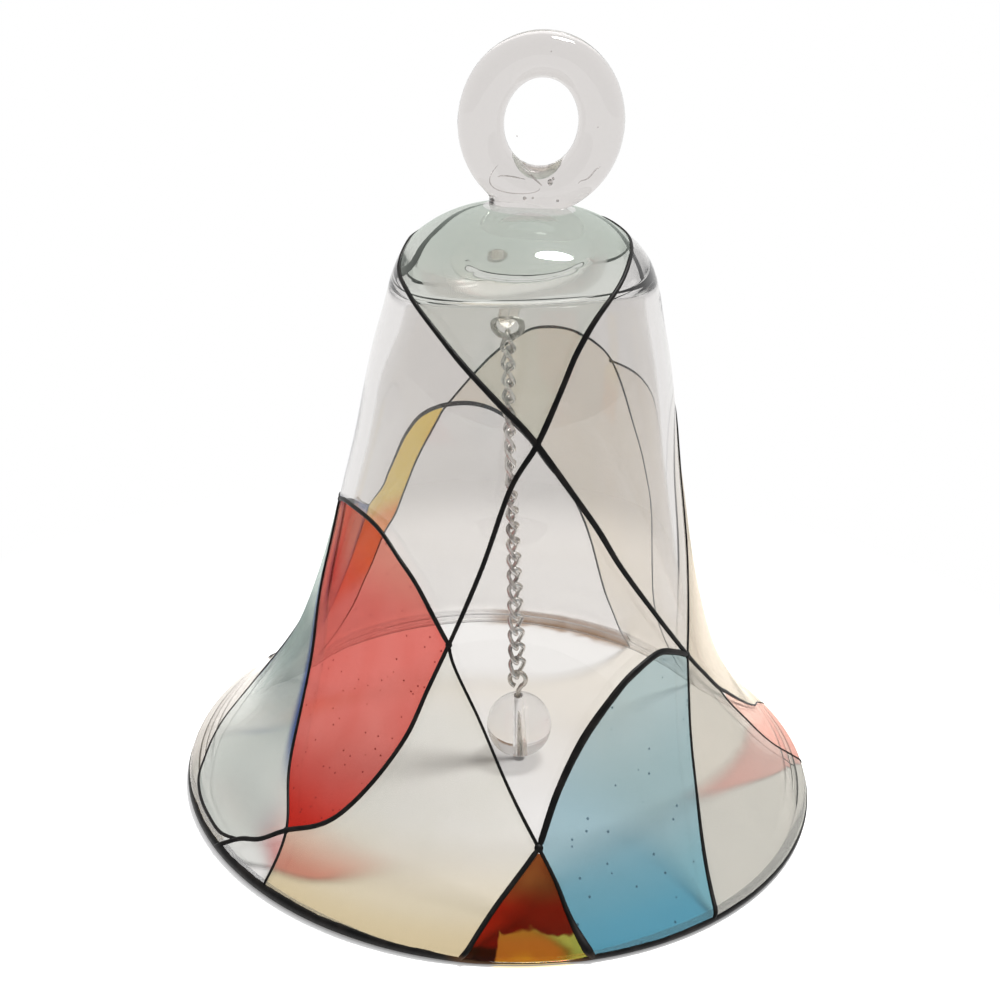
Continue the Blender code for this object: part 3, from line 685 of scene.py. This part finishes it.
# each stroke: its width in mm at even steps along it, and its route
strokes = [
    ([0.26, 0.28, 0.62, 0.84, 0.90, 0.80, 0.70, 0.62, 0.34, 0.22],
     [(-185.4, 94.5), (-127.6, 94.2), (-100, 93.4), (-86, 92.7), (-71.5, 89.7), (-56.3, 87.7), (-38, 84.1),
      (-21, 79.3), (-6.1, 74.2), fanTip, (25.3, 57.1), (35, 49.3), (46.4, 41.0), rightCrossing,
      (68.5, 25.6), lowRight, (79.1, 19.3), (83.1, 17.1), (88.4, 14.2), (94.8, 10.8), (101, 7.7),
      (108, 4.5), (113, rim)]),
    ([0.26, 0.28, 0.60, 0.85, 0.80, 0.65, 0.58, 0.62, 0.68, 0.66],
     [(184.7, 94.3), (139.8, 96.1), (113, 97.4), (90, 96.0), (68.5, 94.7), (51.7, 92.6), (32.7, 87.8),
      (21.8, 82.5), (14.8, 76.7), fanTip, (-1.3, 61.8), (-8.4, 49.6), leftCrossing, (-19.7, 30.9),
      (-23.9, 22.5), (-33.1, 11.5), lowLeft, (-46.5, 4.9), (-50.6, 3.5), (-54.8, rim)]),
    ([0.62, 0.50, 0.40],
     [leafTip, (-78.2, 47.0), (-74.2, 37.0), (-64.7, 28.4), (-58.2, 20.5), (-50.7, 13.1), lowLeft,
      (-39.2, rim)]),
    ([0.65, 0.65],
     [leafTip, (-71, 51.5), (-56.4, 52.3), (-44.9, 51.4), (-34.7, 48.3), (-26.6, 44.9), leftCrossing]),
    ([0.50, 0.46, 0.36, 0.24, 0.24, 0.34, 0.30],
     [(-50.6, 3.5), (-55, 2.7), (-60.9, 2.6), (-66.5, 2.6), (-72.6, 2.9), (-76.8, 3.7), (-81.1, 4.5),
      (-84.7, 5.3), (-88.3, 6.5), (-92, 8.8), (-95.5, 12), (-99, 18), (-104, 25), (-108, 31),
      (-110.5, 37), backLeft]),
    ([0.34, 0.25], [leafTip, (-92, 48.5), (-103, 45.5), backLeft]),
    ([0.48, 0.42, 0.40, 0.42, 0.46, 0.50, 0.70, 1.50],
     [leftCrossing, (-13.6, 35.1), (-5.6, 27.9), (2.4, 19.0), lowCrossing, (11.4, 8.4), (12.8, 5.6),
      (14.0, 3.6), (16.2, rim)]),
    ([0.70, 0.70], [lowCrossing, (4.2, 8.8), (0.9, 6.2), (-1.9, 3.6), (-4.6, rim)]),
    ([0.90, 1.10, 1.10, 0.80],
     [lowCrossing, (13.5, 18.7), (21.3, 25.5), (31.1, 30.7), (38.8, 33.0), (47.4, 34.0), (54.9, 32.6),
      rightCrossing]),
    ([0.42, 0.45, 0.70], [rightCrossing, (56.2, 24.9), (48.2, 14.8), (42.6, 7.4), (37.8, rim)]),
    ([0.34, 0.30], [lowRight, (77.8, 17.8), (81.8, 13.7), (84.8, 9.8), (87.4, 6.4), (89.7, 3.6), (91, rim)]),
    ([0.42, 0.40], [rightCrossing, (73, 44.5), (80.5, 58.0), (92, 66.7), (112, 69.4), backRight]),
    ([0.38, 0.42, 0.45, 0.40, 0.38],
     [(-120, rim), (-123, 10), (-124.4, 17), (-124.8, 23.5), (-126.6, 29), (-128.2, 34), (-131.8, 37.5),
      (-133.8, 42), (-136.3, 46.7), (-138.6, 49.6), (-141.9, 52.7), (-144.8, 55.6),
      backCrossing, (-163, 66.5), (-179, 72.0), (-189, 73.5), (-204.7, 73.4), (-223.2, 70.0),
      (-238.1, 58.2), (-243.5, 51.2), (-244.5, 42.4), (-234.7, 21.0), (-231.3, rim)]),
    ([0.22, 0.60, 0.90, 0.85, 0.55, 0.42, 0.40, 0.40, 0.38, 0.36, 0.35],
     [backLeft, (-120, 45.1), (-122.1, 47.8), (-124.6, 50.8), (-127.2, 53.6), (-130.6, 55.7),
      (-135.2, 57.5), (-141, 58.4), backCrossing, (-160.8, 58.2), (-172.8, 55.7),
      (-184.7, 50.6), (-193.5, 45.1), (-202.4, 39.9), (-209.2, 29.6), (-212.2, 13.5), (-211.3, rim)]),
]

# where strokes meet the paste gathers: place and radius in mm
pools = [(fanTip, 0.60), (leftCrossing, 0.48), (rightCrossing, 0.58), (lowCrossing, 0.60), (lowLeft, 0.50),
         (lowRight, 0.28), (leafTip, 0.42), (backCrossing, 0.40), (backLeft, 0.16), (backRight, 0.34)]


def smoothRow(points, steps):
    # a smooth curve through the points
    row = []
    padded = [points[0]] + points + [points[-1]]
    for i in range(1, len(padded) - 2):
        before, start, end, after = (Vector(padded[i + k]) for k in (-1, 0, 1, 2))
        for j in range(steps):
            t = j / steps
            square = (2 * before - 5 * start + 4 * end - after) * t * t
            cube = (3 * start - before - 3 * end + after) * t * t * t
            row.append(0.5 * (2 * start + (end - before) * t + square + cube))
    return row + [Vector(points[-1])]


def evenRow(points, step):
    # drops points that lie closer than a step
    kept = [points[0]]
    for point in points[1:-1]:
        if (point[0] - kept[-1][0]).length >= step and (point[0] - points[-1][0]).length > step / 2:
            kept.append(point)
    return kept + [points[-1]]


def strokeMesh(number, widths, points):
    # one stroke: a rounded ridge whose width and load follow the hand
    feet = evenRow([onBell(*place) for place in smoothRow(points, 60)], lines["step"])
    rows = []
    count = len(feet)
    for i, (point, normal) in enumerate(feet):
        along = (feet[min(i + 1, count - 1)][0] - feet[max(i - 1, 0)][0]).normalized()
        across = along.cross(normal).normalized()
        hand = noise.noise(Vector((i * 0.08, number * 7.3, 0))) * 0.7 + noise.noise(
            Vector((i * 0.31, number * 3.1, 5))) * 0.3
        share = i / (count - 1) * (len(widths) - 1)
        here = min(int(share), len(widths) - 2)
        width = (widths[here] + (widths[here + 1] - widths[here]) * (share - here)) * mm
        taper = min(1, 0.45 + 0.55 * min(i, count - 1 - i) * lines["step"] / width)
        width *= (1 + lines["wobble"] * hand) * taper
        height = min(lines["height"], width * lines["slope"]) * (1 + 0.12 * hand)
        base = point - normal * lines["sunk"]
        sides = lines["sides"]
        rise = height + lines["sunk"]
        rows.append([base + across * width / 2 * math.cos(turn) + normal * rise * math.sin(turn)
                     for turn in (math.pi * j / sides for j in range(sides + 1))])
    return loft(rows)


def poolMesh(place, size):
    point, normal = onBell(*place)
    bm = bmesh.new()
    bmesh.ops.create_uvsphere(bm, u_segments=20, v_segments=10, radius=1)
    turn = normal.to_track_quat("Z", "Y").to_matrix().to_4x4()
    matrix = Matrix.Translation(point) @ turn @ Matrix.Diagonal((size, size, lines["height"] * 1.02, 1))
    bmesh.ops.transform(bm, matrix=matrix, verts=bm.verts)
    return bm


# the painted lip: degrees round the bell and width in mm
band = {"height": 0.30 * mm, "start": 0.04 * mm, "reach": 4 * mm, "slope": 0.4, "sunk": 0.02 * mm,
        "back": 0.03 * mm, "widths": [
    (-118, 0.25), (-98, 0.55), (-82, 1.00), (-66, 1.75), (-42, 1.90), (-24, 1.75), (-10, 1.30), (-5, 1.00),
    (2, 0.35), (12, 0.35), (17, 1.10), (30, 1.25), (60, 1.20), (90, 0.95), (104, 0.60), (118, 0.25)]}


def bandMesh():
    lengths = [0.0]
    while lengths[-1] < band["reach"]:
        step = len(lengths)
        lengths.append(lengths[-1] + (fineLine[step] - fineLine[step - 1]).length)

    def along(reach):
        i = next(k for k in range(len(lengths) - 1) if lengths[k + 1] >= reach)
        tangent = (fineLine[i + 2] - fineLine[max(i - 1, 0)]).normalized()
        spot = fineLine[i].lerp(fineLine[i + 1], (reach - lengths[i]) / (lengths[i + 1] - lengths[i]))
        return spot, Vector((tangent.y, -tangent.x))

    rows = []
    widths = band["widths"]
    for degree in range(widths[0][0], widths[-1][0] + 1):
        (low, less), (high, more) = next(pair for pair in zip(widths, widths[1:]) if degree <= pair[1][0])
        wide = (less + (more - less) * (degree - low) / (high - low)) * mm
        slow = noise.noise(Vector((degree * 0.16, 3, 1)))
        quick = noise.noise(Vector((degree * 0.7, 8, 2)))
        wide *= 1 + 0.10 * slow + 0.05 * quick
        lift = min(band["height"], wide * band["slope"])
        angle = math.radians(degree)
        around = Vector((math.sin(angle), -math.cos(angle), 0))
        row = []
        for j in range(13):
            spot, normal = along(band["start"] + wide * j / 12)
            spot = spot + normal * (lift * math.sin(math.pi * j / 12) ** 0.6 - band["sunk"])
            row.append(around * spot.x + Vector((0, 0, spot.y)))
        for j in (10, 7, 4, 2):
            spot, normal = along(band["start"] + wide * j / 12)
            spot = spot - normal * band["back"]
            row.append(around * spot.x + Vector((0, 0, spot.y)))
        rows.append(row)
    return loft(rows)


def makeOutline():
    bm = bandMesh()
    for number, (widths, points) in enumerate(strokes):
        addTo(bm, strokeMesh(number, widths, points))
    for place, size in pools:
        addTo(bm, poolMesh(place, size * mm))
    keep("outlinePaste", bm, blackPaste, "bell", "leading_lines", 55)


makeOutline()
print("outline drawn")


# the painted panes

film = {"lift": 0.045 * mm, "cell": 0.5 * mm, "columns": 600, "near": 0.48 * mm, "snap": 0.95 * mm,
        "low": 0.66 * mm, "foot": 6.4 * mm}

# each pane: a seed inside its lines, in degrees and per cent of the height, and its paint
panes = [
    {"name": "Fan", "seed": (4, 80), "light": (250, 252, 249), "deep": (241, 246, 240),
     "body": (200, 212, 200), "milk": 0.05, "level": 0.35, "turns": [("Z", 79, 85, (233, 238, 234))]},
    {"name": "Coral", "seed": (-47, 25), "light": (240, 142, 134), "deep": (230, 114, 104),
     "body": (206, 96, 90), "milk": 0.06, "level": 0.30, "streak": 1.3, "grain": 170,
     "turns": [("Z", 34, 44, (238, 164, 148)), ("Z", 18, 7, (213, 52, 40))],
     "specks": (800, 0.13, (160, 52, 52))},
    {"name": "LeftBlue", "seed": (-85, 30), "light": (192, 200, 196), "deep": (178, 190, 192),
     "body": (190, 198, 198), "level": 0.25, "rim": (2.2, (72, 98, 162), (9, 15)),
     "turns": [("Z", 24, 32, (226, 233, 230)), ("Z", 19, 8, (240, 243, 240))]},
    {"name": "Cream", "seed": (-22, 13), "light": (248, 247, 244), "deep": (240, 240, 232),
     "body": (225, 216, 198), "level": 0.25, "turns": [("Z", 13, 3, (240, 230, 206))]},
    {"name": "SkyBlue", "seed": (28, 16), "light": (203, 222, 228), "deep": (188, 212, 220),
     "body": (150, 188, 202), "milk": 0.07, "level": 0.3,
     "turns": [("Z", 26, 14, (176, 205, 214)), ("Z", 12, 3, (140, 197, 214))],
     "specks": (560, 0.13, (100, 130, 146))},
    {"name": "Amber", "seed": (6, 5), "light": (160, 98, 50), "deep": (128, 62, 30),
     "body": (110, 70, 40), "milk": 0.05, "level": 0.4, "streak": 1.8, "grain": 240,
     "turns": [("Z", 7.6, 5.0, (158, 32, 16)), ("Z", 2.5, 2.0, (64, 32, 22))],
     "corner": ((0.9, 1.3), (3.6, 3.2), (246, 210, 92))},
    {"name": "GreyGreen", "seed": (62, 13), "light": (236, 234, 229), "deep": (226, 226, 221),
     "body": (205, 212, 206)},
    {"name": "Pink", "seed": (95, 4), "light": (252, 232, 224), "deep": (250, 222, 212),
     "body": (230, 200, 190), "shade": (240, 160, 148)},
    {"name": "Yellow", "seed": (-130, 47), "light": (250, 224, 124), "deep": (248, 214, 96),
     "body": (220, 190, 110), "turns": [("Z", 38, 33, (240, 140, 24)), ("Z", 25, 18, (250, 248, 246))]},
    {"name": "BackCream", "seed": (160, 63), "light": (250, 245, 236), "deep": (246, 238, 222),
     "body": (222, 212, 196)},
    # a nearly clear film whose brown corner colour is a painted glint: the brown-gold light at the back of
    # the lip
    {"name": "BackClear", "seed": (-178, 22), "light": (254, 254, 253), "deep": (252, 252, 251),
     "body": (225, 225, 225), "milk": 0.01, "corner": ((-5, 1), (4.6, 3.2), (150, 108, 58))},
    {"name": "SideCream", "seed": (100, 40), "light": (248, 243, 235), "deep": (243, 236, 224),
     "body": (222, 213, 198)},
]


def filmProfile():
    # the outline just outside the glass, in even steps, from the lip to the ring's foot
    points = [point for point in moved(fineLine, film["lift"]) if point.y > film["low"]]
    kept = points[:1]
    for point in points:
        if (point - kept[-1]).length >= film["cell"] and point.x > film["foot"]:
            kept.append(point)
    return kept


def lineTree():
    # close points along every stroke, for the distance from any place to the nearest line
    places = []
    for widths, points in strokes:
        row = [onBell(*place, film["lift"])[0] for place in smoothRow(points, 120)]
        for a, b in zip(row, row[1:]):
            count = max(1, int((b - a).length / (0.08 * mm)))
            places += [a.lerp(b, k / count) for k in range(count)]
    tree = KDTree(len(places))
    for i, place in enumerate(places):
        tree.insert(place, i)
    tree.balance()
    return tree


def filmSheet(profile):
    # one sheet round the whole bell: a grid whose columns are turned about the axis
    bm = bmesh.new()
    bmesh.ops.create_grid(bm, x_segments=film["columns"], y_segments=len(profile) - 1, size=1)
    for vert in bm.verts:
        angle = math.pi * vert.co.x
        point = profile[round((vert.co.y + 1) / 2 * (len(profile) - 1))]
        vert.co = Vector((point.x * math.sin(angle), -point.x * math.cos(angle), point.y))
    bmesh.ops.remove_doubles(bm, verts=bm.verts, dist=1e-6)
    bm.faces.ensure_lookup_table()
    bm.faces.index_update()
    return bm


def makePanes():
    # each pane grows from its seed over the sheet's cells until it meets a line
    tree = lineTree()
    profile = filmProfile()
    whole = filmSheet(profile)
    centres = [face.calc_center_median() for face in whole.faces]
    blocked = [tree.find(centre)[2] < film["near"] for centre in centres]
    finder = KDTree(len(centres))
    for i, centre in enumerate(centres):
        finder.insert(centre, i)
    finder.balance()
    owner = {}
    for number, pane in enumerate(panes):
        index = finder.find(onBell(*pane["seed"], film["lift"])[0])[1]
        front = []
        if not blocked[index] and index not in owner:
            owner[index] = number
            front.append(whole.faces[index])
        size = 0
        while front:
            face = front.pop()
            size += 1
            for edge in face.edges:
                for other in edge.link_faces:
                    if other.index not in owner:
                        owner[other.index] = number
                        if not blocked[other.index]:
                            front.append(other)
        print("pane", pane["name"], size, "cells")
    low = profile[0].y
    for number, pane in enumerate(panes):
        bm = whole.copy()
        bm.faces.ensure_lookup_table()
        others = [face for face in bm.faces if owner.get(face.index) != number]
        bmesh.ops.delete(bm, geom=others, context="FACES")
        if not bm.faces:
            bm.free()
            continue
        for vert in bm.verts:
            if vert.is_boundary and vert.co.z > low + film["cell"]:
                place, _, reach = tree.find(vert.co)
                if reach < film["snap"]:
                    vert.co = place
        layer = bm.verts.layers.float.new("edge")
        for vert in bm.verts:
            vert[layer] = min(tree.find(vert.co)[2] / mm, (vert.co.z - low) / mm, 6.0)
        bmesh.ops.recalc_face_normals(bm, faces=bm.faces)
        sample = bm.faces[:][0]
        if sample.normal.dot(Vector((*sample.calc_center_median().xy, 0))) < 0:
            bmesh.ops.reverse_faces(bm, faces=bm.faces)
        keep("pane" + pane["name"], bm, paneFinish(pane), "bell", None, 0)
    whole.free()


makePanes()
print("panes painted")


# the clapper: eye, jump ring, chain, pin and bead

clapper = {"eyeRod": 1.5 * mm, "eyeHalf": 2.0 * mm, "eyeOffset": -2.44 * mm, "eyeDrop": 7.4 * mm,
           "jumpYaw": math.radians(-20), "jumpWire": 0.9 * mm, "jumpWidth": 5.4 * mm, "jumpHeight": 4.3 * mm,
           "lean": math.radians(4.6), "links": 22, "linkWire": 0.68 * mm, "linkWidth": 3.0 * mm,
           "twist": math.radians(-90), "yaw": math.radians(120), "yawEnd": math.radians(40), "gap": 0.08 * mm,
           "pinWire": 0.75 * mm, "pinLoop": 3.2 * mm, "pinNeck": 1.2 * mm, "loopStart": math.radians(-62),
           "loopSweep": math.radians(310), "headRadius": 0.9 * mm, "head": 0.4 * mm, "bead": 10.0 * mm,
           "bore": 1.3 * mm, "beadLift": 1.05 * mm, "eyeSink": 0.72 * mm, "slit": 0.012, "slitAt": 2.2}

ceiling = bell["height"] - bell["crown"]
eyeCentre = Vector((clapper["eyeOffset"], 0, ceiling - clapper["eyeDrop"]))
jumpHalf = (clapper["jumpHeight"] - clapper["jumpWire"]) / 2
jumpTop = -(clapper["eyeRod"] + clapper["jumpWire"]) / 2 - clapper["gap"]
jumpBottom = jumpTop + 2 * jumpHalf
dropAll = (eyeCentre.z - clapper["beadLift"]) / math.cos(clapper["lean"])
ringPart = jumpBottom - clapper["jumpWire"] / 2 - clapper["gap"]
pinPart = clapper["pinLoop"] - clapper["pinWire"] + clapper["pinNeck"] + clapper["bead"]
pitch = (dropAll - ringPart - pinPart) / clapper["links"]
linkHalf = (pitch + clapper["linkWire"] + clapper["gap"]) / 2
firstLink = jumpBottom - (clapper["jumpWire"] + clapper["linkWire"]) / 2 - clapper["gap"] + linkHalf
lastLink = firstLink + (clapper["links"] - 1) * pitch
loopDrop = (lastLink + linkHalf - (clapper["linkWire"] + clapper["pinWire"]) / 2 - clapper["gap"]
            + (clapper["pinLoop"] - clapper["pinWire"]) / 2)
beadDrop = loopDrop + clapper["pinLoop"] / 2 + clapper["pinNeck"] + clapper["bead"] / 2


def hung(drop, yaw):
    # a place on the pendulum's line
    return (Matrix.Translation(eyeCentre) @ Matrix.Rotation(-clapper["lean"], 4, "Y")
            @ Matrix.Translation((0, 0, -drop)) @ Matrix.Rotation(yaw, 4, "Z"))


def makeEye():
    # a staple of milky rod, its two ends spread where they were pressed to the ceiling
    half, rod = clapper["eyeHalf"], clapper["eyeRod"]
    bend = eyeCentre.z + half
    top = ceiling - clapper["eyeSink"]
    path = [Vector((0, half, top - (top - bend) * i / 8)) for i in range(8)]
    path += [Vector((0, math.cos(turn) * half, bend - math.sin(turn) * half))
             for turn in (math.pi * i / 24 for i in range(25))]
    path += [Vector((0, -half, bend + (top - bend) * i / 8)) for i in range(1, 9)]
    count = len(path)
    size = []
    for i in range(count):
        end = min(i, count - 1 - i)
        size.append(rod * (1 + 0.45 * math.exp(-(end / 1.6) ** 2)))
    bm = loft(wireRows(path, size, 20, False, Vector((0, 0, bend))))
    place = Matrix.Translation((clapper["eyeOffset"], 0, 0)) @ Matrix.Rotation(clapper["jumpYaw"], 4, "Z")
    bmesh.ops.transform(bm, matrix=place, verts=bm.verts)
    keep("eyeStaple", bm, eyeGlass, "bell", "inner_eye")


def makeJumpRing():
    # closed by hand, so a hair's gap shows where its ends meet
    across = (clapper["jumpWidth"] - clapper["jumpWire"]) / 2
    slit = clapper["slit"]
    steps = 72
    path = []
    for i in range(steps + 1):
        turn = clapper["slitAt"] + slit + (math.tau - 2 * slit) * i / steps
        path.append(Vector((across * math.sin(turn), 0, jumpHalf * math.cos(turn))))
    bm = loft(wireRows(path, clapper["jumpWire"], 16, False, Vector()))
    bmesh.ops.transform(bm, matrix=hung(jumpTop + jumpHalf, clapper["jumpYaw"]), verts=bm.verts)
    keep("jumpRing", bm, ringSteel, "jump_ring", "jump_ring")


def linkPath(steps):
    # an oval of wire whose ends are turned a quarter turn apart
    halfWidth = (clapper["linkWidth"] - clapper["linkWire"]) / 2
    straight = linkHalf - halfWidth
    path = []
    for i in range(steps):
        turn = math.tau * (i + 0.5) / steps
        along = halfWidth * math.cos(turn) + math.copysign(straight, math.cos(turn))
        twist = clapper["twist"] / 2 * along / linkHalf
        path.append(Matrix.Rotation(twist, 3, "Z") @ Vector((halfWidth * math.sin(turn), 0, along)))
    return path


def makeChain():
    for number in range(1, clapper["links"] + 1):
        share = (number - 1) / (clapper["links"] - 1)
        yaw = clapper["yaw"] + (clapper["yawEnd"] - clapper["yaw"]) * share
        bm = loft(wireRows(linkPath(44), clapper["linkWire"], 12, True, Vector()), True)
        bmesh.ops.transform(bm, matrix=hung(firstLink + (number - 1) * pitch, yaw), verts=bm.verts)
        name = f"chain_link_{number:02d}"
        keep(f"curbLink{number:02d}", bm, chainSteel, name, name)


def makePin():
    # the loop is turned from the same wire, and the lower end is hammered flat
    radius = (clapper["pinLoop"] - clapper["pinWire"]) / 2
    tail = clapper["pinLoop"] / 2 + clapper["pinNeck"] + clapper["bead"] + clapper["gap"]
    wire = clapper["pinWire"]
    ends = [(-tail - clapper["head"], 0.55), (-tail - clapper["head"] * 0.8, 0.95),
            (-tail - clapper["head"] * 0.4, 1.0), (-tail - 0.02 * mm, 0.92), (-tail, 0.45)]
    path = [Vector((0, 0, height)) for height, _ in ends]
    size = [2 * clapper["headRadius"] * spread for _, spread in ends]
    path += [Vector((0, 0, -tail + clapper["bead"] * i / 4 + 0.3 * mm)) for i in range(5)]
    path.append(Vector((0, 0, -radius - wire)))
    for i in range(49):
        turn = clapper["loopStart"] + clapper["loopSweep"] * i / 48
        path.append(Vector((radius * math.cos(turn), 0, radius * math.sin(turn))))
    size += [wire] * (len(path) - len(size))
    rows = []
    for i, point in enumerate(path):
        along = (path[min(i + 1, len(path) - 1)] - path[max(i - 1, 0)]).normalized()
        across = along.cross(Vector((0, 1, 0)))
        rows.append([point + (Vector((0, 1, 0)) * math.cos(turn) + across * math.sin(turn)) * size[i] / 2
                     for turn in (math.tau * j / 16 for j in range(16))])
    bm = loft(rows)
    yaw = clapper["yawEnd"] + clapper["twist"] / 2
    bmesh.ops.transform(bm, matrix=hung(loopDrop, yaw), verts=bm.verts)
    keep("eyePin", bm, pinSteel, "eye_pin", "eye_pin")


def makeBead():
    # a ball with a straight bore and softened mouths
    radius, bore = clapper["bead"] / 2, clapper["bore"] / 2
    mouth = math.acos((bore + 0.12 * mm) / radius)
    profile = [(radius * math.cos(turn), radius * math.sin(turn))
               for turn in (-mouth + 2 * mouth * i / 48 for i in range(49))]
    end = profile[-1][1]
    profile += [(bore + 0.03 * mm, end - 0.03 * mm), (bore, end - 0.15 * mm), (bore, 0),
                (bore, 0.15 * mm - end), (bore + 0.03 * mm, 0.03 * mm - end)]
    bm = spun([Vector(point) for point in profile], 72)
    bmesh.ops.transform(bm, matrix=hung(beadDrop, 0), verts=bm.verts)
    keep("glassBead", bm, beadGlass, "glass_bead", "glass_bead")


makeEye()
makeJumpRing()
makeChain()
makePin()
makeBead()
print("clapper hung, pitch", round(pitch / mm, 3), "mm")
